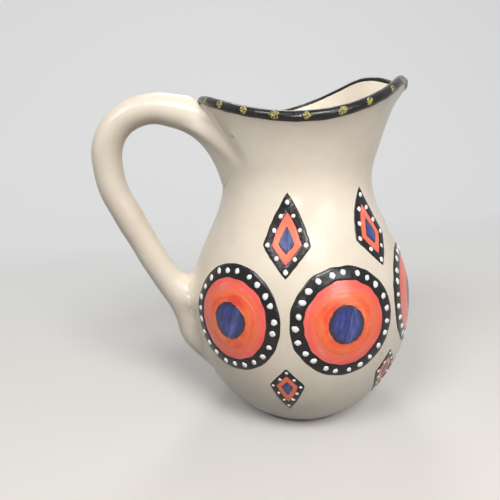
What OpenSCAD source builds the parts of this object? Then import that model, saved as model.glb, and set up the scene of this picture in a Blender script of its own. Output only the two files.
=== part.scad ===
// A pouring jug of glazed earthenware: a round-bellied body with a pinched spout, a pulled
// loop handle luted on at the back, an unglazed foot ring, a painted rim and a painted frieze.
// +Z is up, +X points out through the spout, and the handle is at -X.
// The origin is on the body's axis, in the plane that the foot ring stands on.

/* [Body] */
// Diameter across the belly
belly_d = 112.4; // [106:0.2:120]
// Height of the belly's widest place
belly_h = 57.6; // [55:0.2:62]
// Diameter of the body's underside, where the foot ring is joined
base_d = 58; // [57:1:66]
// Diameter of the neck at its waist
neck_d = 73.4; // [68:0.2:80]
// Height of the neck's waist
neck_h = 122.6; // [119:0.2:126]
// How slowly the shoulder leaves the belly
shoulder = 1.2; // [1.05:0.05:1.4]
// Thickness of the wall
wall = 4; // [3:0.25:5]
// Thickness of the bottom
bottom_t = 5; // [4:0.5:8]

/* [Mouth] */
// Diameter of the mouth across its sides
mouth_d = 95; // [92:0.2:100]
// How far the mouth leans towards the spout
mouth_lean = 1.6; // [0:0.1:4]
// Height of the rim at the sides
rim_side_h = 153.4; // [151:0.2:158]
// Height of the rim at the handle, above the sides
rim_back_rise = 8.6; // [5:0.2:12]
// Height that the rim climbs to at the spout, above the sides, before its dip
rim_front_rise = 17.6; // [12:0.2:22]
// Height of the collar, where the mouth stops being round, above the neck's waist
collar_h = 9; // [6:0.5:12]
// How much of the flare comes early: 0 is late, 1 is even
flare = 0.83; // [0.5:0.01:1]
// How far the spout's beak stands out from the round mouth
beak = 5.3; // [2:0.1:8]
// Half angle of the beak
beak_angle = 17; // [13:1:20]
// How far the pouring edge dips between the raised sides of the spout
lip_dip = 7; // [2:0.1:9]
// Half angle of the dip
dip_angle = 17; // [14:1:24]
// How much one side of the spout stands above the other's height, from the potter's hand
lip_sway = 1.1; // [0:0.1:2]

/* [Foot] */
// Outer diameter of the foot ring
foot_d = 55; // [48:1:56]
// Width of the foot ring
foot_w = 5.5; // [4:0.5:8]
// Height of the foot ring
foot_h = 3; // [2:0.5:5]

/* [Handle] */
// Thickness of the handle, in the plane of its loop
handle_t = 13.6; // [11:0.2:16]
// Breadth of the handle, across its loop
handle_w = 15; // [12:0.5:17]
// How far the handle reaches out beyond the belly
handle_out = 41; // [36:0.5:46]
// Height of the top of the handle, above the rim at the back
handle_rise = 3; // [1:0.2:5]
// Radius of the handle's upper bend, along its middle
bend_r = 22.5; // [19:0.5:25]
// Radius of the bend from the top into the grip
side_r = 50; // [40:1:55]
// Radius of the bend from the grip onto the belly
lower_r = 50; // [40:1:55]
// Height at which the handle lies closest to upright on the belly
tail_h = 50; // [46:1:54]
// How far the handle's middle stands off the belly there
tail_stand = 2.1; // [1:0.1:4]
// Lean of the handle there, from upright
tail_lean = 7; // [4:1:10]
// Radius of the tail's end, along its outside
tail_r = 25; // [22:1:28]
// Fillet under the upper joint, along the handle
web_out = 18; // [12:0.5:20]
// Fillet under the upper joint, down the neck
web_down = 25; // [16:1:28]
// Fillet at the sides of the upper joint
web_side = 5; // [3:0.5:8]
// How much further the lower corners of the handle's root spread on the neck
web_spread = 10; // [0:0.5:12]

/* [Painted rim] */
// Thickness of the paint
coat_t = 0.35; // [0.25:0.05:0.5]
// Width of the black band below the rounded lip, on the outside
band_w = 1; // [0.8:0.1:3]
// Depth of the black band below the rounded lip, on the inside
band_in = 0.6; // [0.4:0.1:3]
// How much further the band runs down beside the beak
drip = 9; // [0:0.5:10]
// Number of yellow dabs round the whole band
dabs = 22; // [16:1:26]
// Diameter of a yellow dab
dab_d = 3.8; // [2.4:0.2:4]

/* [Painted frieze] */
// Number of roundels round the belly
roundels = 6; // [5:1:6]
// Diameter of a roundel
roundel_d = 49; // [42:1:50]
// Height of the roundels' middles
roundel_h = 66; // [63:1:69]
// Width of a roundel's black outline
line_w = 6; // [5:0.5:7]
// Diameter of a roundel's blue eye
eye_d = 17; // [12:1:19]
// Width of the orange ring round the eye
glow_w = 5; // [3:0.5:6]
// Angle left free on each side of the handle's middle
handle_gap = 14; // [13:1:18]
// Width of an upper lozenge
lozenge_w = 21; // [18:1:24]
// Height of the upper lozenges' widest place
lozenge_h = 99; // [97:1:102]
// Length of an upper lozenge above its widest place
lozenge_up = 22; // [18:1:24]
// Length of an upper lozenge below its widest place
lozenge_down = 13; // [11:1:14]
// Size of a lower lozenge, as a share of an upper one
lower_share = 0.75; // [0.6:0.05:0.8]
// Height of the lower lozenges' widest place
lower_h = 37; // [35:1:38]
// Width of a lozenge's black outline
fine_line_w = 3.6; // [3:0.2:4]
// Diameter of the white dots
dot_d = 2.6; // [2:0.1:3]
// Distance between the white dots of a roundel
dot_pitch = 6; // [5:0.1:8]

/* [Hidden] */

clay = [0.91, 0.88, 0.80];
bare_clay = [0.80, 0.68, 0.54];
black = [0.06, 0.05, 0.06];
yellow = [0.82, 0.74, 0.22];
coral = [0.92, 0.36, 0.33];
orange = [0.95, 0.45, 0.24];
navy = [0.11, 0.12, 0.42];
white = [0.95, 0.95, 0.92];

// Room between a piece and the curved face that carries it
seat_gap = 0.1;
// Room between two coats of paint side by side
paint_gap = 0.15;

belly_r = belly_d / 2;
base_r = base_d / 2;
neck_r = neck_d / 2;
mouth_r = mouth_d / 2;
lip_r = wall / 2;
floor_h = foot_h + bottom_t;
collar_z = neck_h + collar_h;

// The lower belly is part of an ellipse with this semi-height
drop = (belly_h - foot_h) / sqrt(1 - pow(base_r / belly_r, 2));
low_angle = asin((belly_h - foot_h) / drop);
low_rows = 14;
high_rows = 18;

// Steps round the mouth, closer together at the spout
mouth_steps = 80;
spout_bias = 0.45;
// Rows of the mouth's wall below the painted band and behind it, and of the rounded lip
wall_rows = 9;
band_rows = 3;
lip_rows = 5;

// Step in from the turned wall at which the mouth's facets start
seam_step = 0.02;
slope_step = 0.01;

// ---- Curves of the body ----

function unit(v) = v / norm(v);

// Outer radius of the turned part at height z
function turned_r(z) = z < belly_h
    ? belly_r * sqrt(max(0, 1 - pow((belly_h - z) / drop, 2)))
    : neck_r + (belly_r - neck_r)
        * (1 + cos(180 * pow((z - belly_h) / (neck_h - belly_h), shoulder))) / 2;

function turned_slope(z) = z == neck_h ? 0
    : (turned_r(z + slope_step) - turned_r(z - slope_step)) / (2 * slope_step);

// Outward normal of the turned part, as [radial, up]
function turned_normal(z) = unit([1, -turned_slope(z)]);

// Heights of the rows from the underside to the neck's waist
turned_rows = concat(
    [for (i = [0 : low_rows]) belly_h - drop * sin(low_angle * (1 - i / low_rows))],
    [for (i = [1 : high_rows]) belly_h + (neck_h - belly_h) * i / high_rows]);

// The same angle between -180 and 180
function signed(phi) = phi > 180 ? phi - 360 : phi;

function bump(angle, half_angle) = exp(-pow(angle / half_angle, 2));

function rim_r(phi) = mouth_r + mouth_lean * cos(phi) + beak * bump(signed(phi), beak_angle);

// Up by one on one side of the spout, and down by one on the other
sway_angle = 25;
function sway(phi) = phi / sway_angle * exp((1 - pow(phi / sway_angle, 2)) / 2);

function rim_z(phi) = rim_side_h
    + (rim_front_rise + rim_back_rise) / 2 * pow(cos(phi), 2)
    + (rim_front_rise - rim_back_rise) / 2 * cos(phi)
    - lip_dip * bump(signed(phi), dip_angle)
    + lip_sway * sway(signed(phi));

// Height at which the lip starts to round over
function lip_z(phi) = rim_z(phi) - lip_r;

// Outer radius of the flare at a share of its height: it leaves the collar smoothly
function flare_r(phi, share) = let (r0 = turned_r(collar_z), rise = lip_z(phi) - collar_z)
    r0 + turned_slope(collar_z) * rise * share * (1 - share)
    + (rim_r(phi) - r0) * pow(share, 2) * (flare + (1 - flare) * share);

// Outer radius of the whole body at an angle and a height
function body_r(phi, z) = z < collar_z
    ? turned_r(z)
    : flare_r(phi, min(1, (z - collar_z) / (lip_z(phi) - collar_z)));

// Upward tangent of the body's outside, as [radial, up]
function body_tangent(phi, z) = z <= neck_h
    ? unit([turned_slope(z), 1])
    : unit([body_r(phi, z) - body_r(phi, z - slope_step), slope_step]);

// Outward normal of the body's outside, as [radial, up]
function body_normal(phi, z) = let (t = body_tangent(phi, z)) [t[1], -t[0]];

function polar(phi, rz) = [rz[0] * cos(phi), rz[0] * sin(phi), rz[1]];

// A point at a distance outside the body's face
function off_body(phi, z, out) = polar(phi, [body_r(phi, z), z] + out * body_normal(phi, z));

// ---- Mesh helpers ----

// Faces of a surface that closes on itself both ways
function torus_faces(columns, rows) = [
    for (i = [0 : columns - 1], j = [0 : rows - 1])
        let (i2 = (i + 1) % columns, j2 = (j + 1) % rows,
            a = i * rows + j, b = i2 * rows + j, c = i2 * rows + j2, d = i * rows + j2)
        each [[a, c, b], [a, d, c]]];

// Faces of a tube with closed ends
function tube_faces(rings, sides) = concat(
    [[for (j = [sides - 1 : -1 : 0]) j]],
    [for (i = [0 : rings - 2], j = [0 : sides - 1])
        let (j2 = (j + 1) % sides, a = i * sides + j, b = i * sides + j2,
            c = (i + 1) * sides + j2, d = (i + 1) * sides + j)
        each [[a, c, d], [a, b, c]]],
    [[for (j = [0 : sides - 1]) (rings - 1) * sides + j]]);

// ---- Body ----

mouth_angles = [for (i = [0 : mouth_steps - 1])
    let (turn = 360 * i / mouth_steps) turn - spout_bias * sin(turn) * 180 / PI];

// Height of a place on the wall at a distance below the start of the lip
function below_lip(phi, depth) = lip_z(phi) - depth * body_tangent(phi, lip_z(phi))[1];

// The black band narrows where it climbs over the handle's root, and drips beside the beak
band_least = 0.3;
band_dodge = asin((handle_w / 2 + web_side) / mouth_r);
drip_at = 6.5;
drip_angle = 5.5;
function band_depth(phi) =
    band_w - (band_w - band_least) * bump(180 - abs(signed(phi)), band_dodge)
    + drip * bump(signed(phi) - drip_at, drip_angle);

// Heights of the wall's rows, with the last ones behind a band of that depth
function wall_heights(phi, depth) = let (edge = below_lip(phi, depth)) concat(
    [for (i = [0 : wall_rows - 1]) neck_h + (edge - neck_h) * i / wall_rows],
    band_heights(phi, depth));

function band_heights(phi, depth) = let (edge = below_lip(phi, depth))
    [for (i = [0 : band_rows]) edge + (lip_z(phi) - edge) * i / band_rows];

// Rows of a section as [point, normal]: up the outside, over the lip and down the inside
function outside_rows(phi, heights) =
    [for (z = heights) [[body_r(phi, z), z], body_normal(phi, z)]];

function inside_rows(phi, heights) =
    [for (i = [len(heights) - 1 : -1 : 0])
        let (z = heights[i], n = body_normal(phi, z)) [[body_r(phi, z), z] - wall * n, -n]];

function lip_arc(phi) = let (z = lip_z(phi), n = body_normal(phi, z), t = body_tangent(phi, z),
        middle = [body_r(phi, z), z] - lip_r * n)
    [for (i = [1 : lip_rows])
        let (turn = 180 * i / (lip_rows + 1), out = n * cos(turn) + t * sin(turn))
        [middle + lip_r * out, out]];

function mouth_section(phi) = concat(
    outside_rows(phi, wall_heights(phi, band_depth(phi))),
    lip_arc(phi),
    inside_rows(phi, wall_heights(phi, band_in)));

// The first and last rows start inside the turned wall's flat top
function seam_shift(row, rows) = row == 0 ? -seam_step : row == rows - 1 ? 3 * seam_step : 0;

module mouth() {
    rows = len(mouth_section(0));
    points = [for (phi = mouth_angles)
        let (section = mouth_section(phi))
        for (j = [0 : rows - 1]) polar(phi, section[j][0] + [seam_shift(j, rows), 0])];
    polyhedron(points, torus_faces(mouth_steps, rows), convexity = 6);
}

module turned_wall() {
    outer = [for (z = turned_rows) [turned_r(z), z]];
    inner = [for (z = turned_rows) [turned_r(z), z] - wall * turned_normal(z)];
    above = [for (p = inner) if (p[1] > floor_h) p];
    below = [for (p = inner) if (p[1] <= floor_h) p];
    low = below[len(below) - 1];
    high = above[0];
    corner_r = low[0] + (high[0] - low[0]) * (floor_h - low[1]) / (high[1] - low[1]);
    rotate_extrude($fn = 180)
        polygon(concat([[0, foot_h]], outer,
            [for (i = [len(above) - 1 : -1 : 0]) above[i]],
            [[corner_r, floor_h], [0, floor_h]]));
}

module body() {
    color(clay) union() {
        turned_wall();
        mouth();
    }
}

module foot_ring() {
    edge = 0.6;
    r_out = foot_d / 2;
    r_in = r_out - foot_w;
    color(bare_clay) rotate_extrude($fn = 120)
        polygon([[r_in, edge], [r_in + edge, 0], [r_out - edge, 0], [r_out, edge],
            [r_out, foot_h], [r_in, foot_h]]);
}

// ---- Handle ----

handle_sides = 36;
half_t = handle_t / 2;
half_w = handle_w / 2;

// Centres of the bends, as [x, z] of the handle's middle line
top_z = rim_z(180) + handle_rise - half_t;
outer_x = -(belly_r + handle_out - half_t);
bend_centre = [outer_x + bend_r, top_z - bend_r];
side_centre = [outer_x + side_r, top_z - bend_r];
tail_top = [-(turned_r(tail_h) + tail_stand), tail_h];
tail_out = [-cos(tail_lean), -sin(tail_lean)];
lower_centre = tail_top + lower_r * tail_out;
curl_centre = tail_top - (tail_r - half_t) * tail_out;

// The handle leaves the neck just under the band and rises straight to the upper bend
root_room = 0.5;
root_span = [-rim_r(180), lip_z(180) - band_least - root_room - half_t] - bend_centre;
root_slope = asin(bend_r / norm(root_span)) - atan2(root_span[1], root_span[0]);

// The grip is the straight line that touches the side bend and the lower bend
bend_span = side_centre - lower_centre;
grip_lean = atan2(bend_span[1], bend_span[0]) - acos((side_r + lower_r) / norm(bend_span));
// How far the tail's tip stands off the belly
tip_stand = 0.8;
halvings = 14;

function on_arc(centre, r, angle) = centre + r * [cos(angle), sin(angle)];

root_end = on_arc(bend_centre, bend_r, 90 - root_slope);
root_out = [cos(90 - root_slope), sin(90 - root_slope)];
// Direction in which the handle's lines run into the neck
root_run = [cos(root_slope), 0, -sin(root_slope)];

// How far a point of the handle's middle plane stands off the back of the body
function stands(p) = -p[0] - body_r(180, p[1]) - seat_gap;

// How far round the tail curls before its outside has come down to the tip
function curl_stop(low, high, rounds) = let (mid = (low + high) / 2)
    rounds == 0 ? low
        : stands(on_arc(curl_centre, tail_r, 180 + mid)) > tip_stand
            ? curl_stop(mid, high, rounds - 1)
            : curl_stop(low, mid, rounds - 1);

curl_end = curl_stop(tail_lean, 90, halvings);
grip_out = [-cos(grip_lean), -sin(grip_lean)];

// Places along the middle line, as [point, direction that faces out of the loop]
bend_steps = 11;
side_steps = 4;
grip_steps = 5;
lower_steps = 5;
curl_steps = 8;

function arc_places(centre, r, from, to, steps, facing) =
    [for (i = [1 : steps]) let (a = from + (to - from) * i / steps)
        [on_arc(centre, r, a), facing * [cos(a), sin(a)]]];

function line_places(from, to, out, steps) =
    [for (i = [1 : steps]) [from + (to - from) * i / steps, out]];

places = concat(
    [[root_end, root_out]],
    arc_places(bend_centre, bend_r, 90 - root_slope, 180, bend_steps, 1),
    arc_places(side_centre, side_r, 180, 180 + grip_lean, side_steps, 1),
    line_places(side_centre + side_r * grip_out, lower_centre - lower_r * grip_out,
        grip_out, grip_steps),
    arc_places(lower_centre, lower_r, grip_lean, tail_lean, lower_steps, -1),
    arc_places(curl_centre, tail_r - half_t, 180 + tail_lean, 180 + curl_end, curl_steps, 1));

// A point kept outside the body: one that lies too deep is moved straight out to its seat
function seated(p) = let (phi = atan2(p[1], p[0]), least = body_r(abs(phi), p[2]) + seat_gap,
        r = norm([p[0], p[1]]))
    r < least ? [p[0] * least / r, p[1] * least / r, p[2]] : p;

// How much of the handle's outer half shows, where the rest of it has sunk into the belly
function showing(top, out, low, high, rounds) = let (mid = (low + high) / 2)
    rounds == 0 ? high
        : stands(top - mid * out) > 0
            ? showing(top, out, mid, high, rounds - 1)
            : showing(top, out, low, mid, rounds - 1);

// One section of the handle: it gets flatter and narrower as it sinks in
function handle_ring(place) =
    let (out = place[1], top = place[0] + half_t * out,
        half = showing(top, out, 0, half_t, halvings), middle = top - half * out,
        side = half_w * sqrt(1 - pow(1 - half / half_t, 2)))
    [for (j = [0 : handle_sides - 1])
        let (turn = 360 * j / handle_sides, rise = half * sin(turn))
        seated([middle[0] + rise * out[0], side * cos(turn), middle[1] + rise * out[1]])];

// The joint under the rim: each line along the handle swings down onto the neck's face
web_rings = 8;
cap_rings = 7;
hit_rounds = 4;

// A point of the neck's back at a sideways distance and a height
function on_neck(y, z) = let (phi = 180 - asin(y / body_r(180, z)),
        r = body_r(abs(phi), z) + seat_gap)
    [r * cos(phi), r * sin(phi), z];

function root_point(turn) = let (p = root_end + half_t * sin(turn) * root_out)
    [p[0], half_w * cos(turn), p[1]];

// Where the straight line from the handle's side meets the neck
function root_hit(turn, z, rounds) = let (from = root_point(turn), on = on_neck(from[1], z))
    rounds == 0 ? on
        : root_hit(turn, from[2] - tan(root_slope) * (on[0] - from[0]), rounds - 1);

// How far the fillet starts before the neck, and where it ends on the neck
function web_reach(turn) = web_side + (web_out - web_side) * (1 - sin(turn)) / 2;

function web_end(turn, hit) = let (up = max(0, sin(turn)), down = max(0, -sin(turn)))
    on_neck(hit[1] + web_side * cos(turn) * (1 - up)
            + web_spread * sign(cos(turn)) * pow(2 * down * cos(turn), 2),
        hit[2] - web_down * pow(down, 2));

// How far before the neck the handle's line comes out of the neck's tangent plane at the end
function web_back(hit, end) = let (phi = atan2(end[1], end[0]), n = body_normal(abs(phi), end[2]),
        out = polar(phi, n))
    max(0, (end - hit) * out / -(root_run * out));

// One ring of the joint: share is 0 where the fillet starts and 1 on the neck
function web_ring(share) = [for (j = [0 : handle_sides - 1])
    let (turn = 360 * j / handle_sides, hit = root_hit(turn, root_end[1], hit_rounds),
        start = hit - web_reach(turn) * root_run, end = web_end(turn, hit),
        corner = hit - web_back(hit, end) * root_run)
    start * pow(1 - share, 2) + corner * 2 * share * (1 - share) + end * pow(share, 2)];

// The rings that close the joint's face, drawn in to a middle on the neck
function cap_ring(share) = let (edge = web_ring(1), middle = root_end[1] - half_t)
    [for (p = edge) on_neck(p[1] * share, middle + (p[2] - middle) * share)];

module handle() {
    rings = concat(
        [for (i = [1 : cap_rings]) cap_ring(i / (cap_rings + 1))],
        [for (i = [web_rings : -1 : 0]) web_ring(i / web_rings)],
        [for (place = places) handle_ring(place)]);
    color(clay)
        polyhedron([for (ring = rings) each ring],
            tube_faces(len(rings), handle_sides), convexity = 8);
}

// ---- Painted rim ----

// The band's rows, from its edge on the outside to its edge on the inside
function band_section(phi) = concat(
    outside_rows(phi, band_heights(phi, band_depth(phi))),
    lip_arc(phi),
    inside_rows(phi, band_heights(phi, band_in)));

module rim_band() {
    rows = len(band_section(0));
    points = [for (phi = mouth_angles)
        let (section = band_section(phi))
        each concat(
            [for (row = section) polar(phi, row[0] + (seat_gap + coat_t) * row[1])],
            [for (j = [rows - 1 : -1 : 0])
                polar(phi, section[j][0] + seat_gap * section[j][1])])];
    color(black) polyhedron(points, torus_faces(mouth_steps, 2 * rows), convexity = 6);
}

// A place on the band's face: run is measured round the lip from its outer start
function lip_place(phi, run, out) = let (z = below_lip(phi, max(0, -run)),
        n = body_normal(phi, z), t = body_tangent(phi, z),
        turn = max(0, run) / lip_r * 180 / PI, middle = [body_r(phi, z), z] - lip_r * n)
    polar(phi, middle + (lip_r + out) * (n * cos(turn) + t * sin(turn)));

dab_sides = 12;
// How far over the lip the dabs' middles lie
dab_run = 1.4;

// One face of a dab: its middle and two rings of points
function dab_layer(phi, out) = concat([lip_place(phi, dab_run, out)],
    [for (r = [dab_d / 4, dab_d / 2], j = [0 : dab_sides - 1])
        let (turn = 360 * j / dab_sides)
        lip_place(phi + r * cos(turn) / rim_r(phi) * 180 / PI, dab_run + r * sin(turn), out)]);

// Faces of a thin round patch whose two sides are such layers
function patch_faces(sides) = let (layer = 2 * sides + 1) [
    for (j = [0 : sides - 1])
        let (k = (j + 1) % sides, a = 1 + j, b = 1 + k, c = a + sides, d = b + sides)
        each [[0, a, b], [a, c, d], [a, d, b],
            [layer, layer + b, layer + a], [layer + a, layer + d, layer + c],
            [layer + a, layer + b, layer + d],
            [c, layer + c, layer + d], [c, layer + d, d]]];

module rim_dabs() {
    low = 2 * seat_gap + coat_t;
    color(yellow)
        for (i = [0 : dabs - 1])
            let (phi = 360 * i / dabs)
                if (180 - abs(signed(phi)) > band_dodge)
                    polyhedron(concat(dab_layer(phi, low), dab_layer(phi, low + coat_t)),
                        patch_faces(dab_sides));
}

// ---- Painted frieze ----

roundel_pitch = (360 - 2 * handle_gap) / roundels;
roundel_angles =
    [for (i = [0 : roundels - 1]) (i + 0.5) * roundel_pitch + handle_gap - 180];
lozenge_angles = [for (i = [1 : roundels - 1]) i * roundel_pitch + handle_gap - 180];

roundel_inner_d = roundel_d - 2 * line_w;
glow_d = eye_d + 2 * glow_w;
// Sides of a roundel's edges, which are flat so that they cut the turned face cleanly
round_sides = 36;
// Width of the coral ground round a lozenge's heart
lozenge_border = 2.4;

// A coat of paint round the whole body between two heights
module coat(low, high) {
    heights = [for (z = turned_rows) if (z > low && z < high) z];
    inner = [for (z = heights) [turned_r(z), z] + seat_gap * turned_normal(z)];
    outer = [for (z = heights) [turned_r(z), z] + (seat_gap + coat_t) * turned_normal(z)];
    rotate_extrude($fn = 180)
        polygon(concat(inner, [for (i = [len(outer) - 1 : -1 : 0]) outer[i]]));
}

// A shape drawn on the body's side, facing out at each of the angles
module facing(angles, height) {
    for (phi = angles)
        rotate([0, 0, phi]) translate([0, 0, height]) rotate([90, 0, 90])
            linear_extrude(belly_d) children();
}

function round_points(d) =
    [for (i = [0 : round_sides - 1]) d / 2 * [cos(360 * i / round_sides), sin(360 * i / round_sides)]];

module ring_shape(outer_d, inner_d) {
    difference() {
        polygon(round_points(outer_d));
        if (inner_d > 0) polygon(round_points(inner_d));
    }
}

module roundel_coat(outer_d, inner_d) {
    reach = outer_d / 2 + (neck_h - belly_h) / high_rows;
    intersection() {
        coat(roundel_h - reach, roundel_h + reach);
        facing(roundel_angles, roundel_h) ring_shape(outer_d, inner_d);
    }
}

module roundel_outlines() {
    color(black) roundel_coat(roundel_d, roundel_inner_d);
}

module roundel_grounds() {
    color(coral) roundel_coat(roundel_inner_d - 2 * paint_gap, glow_d);
}

module roundel_glows() {
    color(orange) roundel_coat(glow_d - 2 * paint_gap, eye_d);
}

module roundel_eyes() {
    color(navy) roundel_coat(eye_d - 2 * paint_gap, 0);
}

// Corners of a lozenge [width, up, down], drawn in by a margin from all its sides
function lozenge_points(size, margin) = let (w = size[0] / 2, up = size[1], down = size[2],
        a = norm([w, up]), b = norm([w, down]), mid = (up * b - down * a) / (a + b),
        share = 1 - margin / ((up - mid) * w / a))
    [for (p = [[0, up], [-w, 0], [0, -down], [w, 0]]) [0, mid] + share * (p - [0, mid])];

upper_lozenge = [lozenge_w, lozenge_up, lozenge_down];
lower_lozenge = lower_share * [lozenge_w, lozenge_down, lozenge_up];

module lozenge_coat(size, height, outer_margin, inner_margin) {
    step = (neck_h - belly_h) / high_rows;
    intersection() {
        coat(height - size[2] - step, height + size[1] + step);
        facing(lozenge_angles, height)
            difference() {
                polygon(lozenge_points(size, outer_margin));
                if (inner_margin > 0) polygon(lozenge_points(size, inner_margin));
            }
    }
}

module lozenges(outer_margin, inner_margin) {
    lozenge_coat(upper_lozenge, lozenge_h, outer_margin, inner_margin);
    lozenge_coat(lower_lozenge, lower_h, lower_share * outer_margin,
        lower_share * inner_margin);
}

module lozenge_outlines() {
    color(black) lozenges(0, fine_line_w);
}

module lozenge_grounds() {
    color(coral) lozenges(fine_line_w + paint_gap, fine_line_w + lozenge_border);
}

module lozenge_hearts() {
    color(navy) lozenges(fine_line_w + lozenge_border + paint_gap, 0);
}

// A white dot of thick paint, lying on one coat
module spot(phi, z, d) {
    n = turned_normal(z);
    translate(off_body(phi, z, 2 * seat_gap + coat_t))
        rotate([0, acos(n[1]), phi])
            cylinder(d = d, h = coat_t, $fn = 32);
}

// A white dot at a sideways distance and a height from a shape's middle
module dot(phi, z, offset, d) {
    height = z + offset[1];
    spot(phi + asin(offset[0] / turned_r(height)), height, d);
}

module roundel_dots() {
    line_r = (roundel_d - line_w) / 2;
    count = round(2 * PI * line_r / dot_pitch);
    for (phi = roundel_angles, i = [0 : count - 1])
        let (turn = 360 * (i + 0.5) / count)
            dot(phi, roundel_h, line_r * [cos(turn), sin(turn)], dot_d);
}

// Dots along the sides of the lozenges, one at each corner
module lozenge_dots(size, height, share) {
    corners = lozenge_points(size, share * fine_line_w / 2);
    for (phi = lozenge_angles, i = [0 : 3])
        let (from = corners[i], to = corners[(i + 1) % 4],
            steps = round(norm(to - from) / dot_pitch / share))
            for (k = [0 : steps - 1])
                dot(phi, height, from + (to - from) * k / steps, 0.75 * share * dot_d);
}

module white_dots() {
    color(white) {
        roundel_dots();
        lozenge_dots(upper_lozenge, lozenge_h, 1);
        lozenge_dots(lower_lozenge, lower_h, lower_share);
    }
}

body();
foot_ring();
handle();
rim_band();
rim_dabs();
roundel_outlines();
roundel_grounds();
roundel_glows();
roundel_eyes();
lozenge_outlines();
lozenge_grounds();
lozenge_hearts();
white_dots();
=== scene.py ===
import math

import bpy
import numpy as np
from mathutils import Matrix, Vector


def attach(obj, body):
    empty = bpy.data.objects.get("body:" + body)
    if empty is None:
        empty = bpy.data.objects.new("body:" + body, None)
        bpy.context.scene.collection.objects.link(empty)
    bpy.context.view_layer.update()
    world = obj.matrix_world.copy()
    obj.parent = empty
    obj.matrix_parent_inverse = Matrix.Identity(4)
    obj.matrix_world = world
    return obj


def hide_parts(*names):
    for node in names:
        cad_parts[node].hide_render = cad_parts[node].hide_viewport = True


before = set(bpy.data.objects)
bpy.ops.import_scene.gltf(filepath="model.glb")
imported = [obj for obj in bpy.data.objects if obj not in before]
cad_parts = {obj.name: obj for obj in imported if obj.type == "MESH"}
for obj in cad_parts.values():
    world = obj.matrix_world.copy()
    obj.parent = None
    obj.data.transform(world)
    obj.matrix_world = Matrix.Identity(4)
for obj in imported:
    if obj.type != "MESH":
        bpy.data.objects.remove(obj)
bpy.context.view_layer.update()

# Shapes are worked out in millimetres and become metres when a mesh is made
MM = 0.001
TAU = 2 * math.pi
rng = np.random.default_rng(7)

# ---- Sizes, the same as the solids' ----

BELLY_R, BELLY_H, BASE_R = 56.2, 57.6, 29.0
NECK_R, NECK_H, SHOULDER = 36.7, 122.6, 1.2
WALL, BOTTOM_T, FOOT_H, FOOT_R, FOOT_W = 4.0, 5.0, 3.0, 27.5, 5.5
MOUTH_R, MOUTH_LEAN = 47.5, 1.6
RIM_SIDE, RIM_BACK, RIM_FRONT = 153.4, 8.6, 17.6
COLLAR_H, FLARE = 9.0, 0.83
BEAK, BEAK_ANGLE, LIP_DIP, DIP_ANGLE = 5.3, 17.0, 7.0, 17.0
LIP_SWAY, SWAY_ANGLE = 1.1, 25.0
LIP_R = WALL / 2
COLLAR_Z = NECK_H + COLLAR_H
BAND_W, BAND_IN, BAND_LEAST = 1.0, 0.6, 0.3
DRIP, DRIP_AT, DRIP_ANGLE = 9.0, 6.5, 5.5
DABS, DAB_D, DAB_RUN = 22, 3.8, 1.6
HANDLE_T, HANDLE_W, HANDLE_OUT, HANDLE_RISE = 13.6, 15.0, 41.0, 3.0
BEND_R, SIDE_R, LOWER_R = 22.5, 50.0, 50.0
TAIL_H, TAIL_STAND, TAIL_LEAN, TAIL_R = 50.0, 2.1, 7.0, 25.0
WEB_OUT, WEB_DOWN, WEB_SIDE, WEB_SPREAD = 18.0, 25.0, 5.0, 10.0
ROOT_ROOM = 0.5
ROUNDELS, ROUNDEL_D, ROUNDEL_H, LINE_W = 6, 49.0, 66.0, 6.0
EYE_D, GLOW_W, HANDLE_GAP = 17.0, 5.0, 14.0
LOZENGE_W, LOZENGE_H, LOZENGE_UP, LOZENGE_DOWN = 21.0, 99.0, 22.0, 13.0
LOWER_SHARE, LOWER_H, FINE_LINE, LOZENGE_BORDER = 0.75, 37.0, 3.6, 2.4
DOT_D, DOT_PITCH = 2.6, 6.0

DROP = (BELLY_H - FOOT_H) / math.sqrt(1 - (BASE_R / BELLY_R) ** 2)


# ---- Curves of the body: angles in degrees, as numpy arrays ----

def turned_r(z):
    """Radius of the body as if thrown round, with no flared mouth."""
    z = np.asarray(z, float)
    low = BELLY_R * np.sqrt(np.maximum(0, 1 - ((BELLY_H - z) / DROP) ** 2))
    share = np.maximum(0, (z - BELLY_H) / (NECK_H - BELLY_H))
    high = NECK_R + (BELLY_R - NECK_R) * (1 + np.cos(math.pi * share ** SHOULDER)) / 2
    return np.where(z < BELLY_H, low, high)


def signed(phi):
    """The same angle from -180 to 180: the beak is at 0 and the handle at 180."""
    return (np.asarray(phi, float) + 180) % 360 - 180


def bump(angle, half):
    return np.exp(-(angle / half) ** 2)


def cosd(a):
    return np.cos(np.radians(a))


def sind(a):
    return np.sin(np.radians(a))


def rim_r(phi):
    return MOUTH_R + MOUTH_LEAN * cosd(phi) + BEAK * bump(signed(phi), BEAK_ANGLE)


def rim_z(phi):
    sway = signed(phi) / SWAY_ANGLE
    return (RIM_SIDE + (RIM_FRONT + RIM_BACK) / 2 * cosd(phi) ** 2
            + (RIM_FRONT - RIM_BACK) / 2 * cosd(phi)
            - LIP_DIP * bump(signed(phi), DIP_ANGLE)
            + LIP_SWAY * sway * np.exp((1 - sway ** 2) / 2))


def lip_z(phi):
    return rim_z(phi) - LIP_R


def body_r(phi, z):
    """Radius of the outside: the mouth flares above the collar."""
    rise = lip_z(phi) - COLLAR_Z
    share = np.clip((z - COLLAR_Z) / rise, 0, 1)
    r0 = turned_r(COLLAR_Z)
    step = 0.01
    slope = (turned_r(COLLAR_Z + step) - turned_r(COLLAR_Z - step)) / (2 * step)
    flared = (r0 + slope * rise * share * (1 - share)
              + (rim_r(phi) - r0) * share ** 2 * (FLARE + (1 - FLARE) * share))
    return np.where(z < COLLAR_Z, turned_r(np.minimum(z, COLLAR_Z)), flared)


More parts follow.
